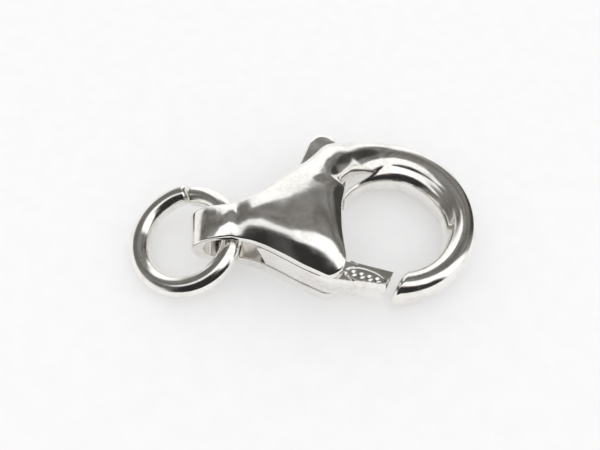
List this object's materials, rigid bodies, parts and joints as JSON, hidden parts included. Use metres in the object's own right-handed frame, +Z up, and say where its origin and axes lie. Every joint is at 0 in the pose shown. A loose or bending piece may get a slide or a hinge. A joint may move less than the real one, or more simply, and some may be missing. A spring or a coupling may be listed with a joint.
{
  "type": "lobster clasp with a jump ring",
  "caption": "Cast lobster clasp: a domed body with a hook, a sprung lever with a thumb tab, and a jump ring through its bail.",
  "frame": {"origin": "the middle of the hook's eye, in the plane of the flat back that the clasp lies on", "axes": "+X along the clasp from the bail to the hook, +Y to the side that the thumb tab is on, +Z up from the flat back to the dome"},
  "size_m": [0.0185, 0.0099, 0.0039],
  "materials": {
    "silver": "polished cast silver with tarnish in its recesses"
  },
  "bodies": {
    "clasp": {"body": "silver", "pivot_pin": "silver", "jump_ring": "silver"},
    "lever": {"lever": "silver"}
  },
  "joints": [
    {"name": "lever_hinge", "type": "hinge", "parent": "clasp", "child": "lever", "pos_m": [-0.0052, -0.00095, 0.00178], "axis": [0, 0, 1], "range_deg": [0, 30], "stiffness_Nm_per_rad": 0.012, "springref_deg": -0.17}
  ]
}
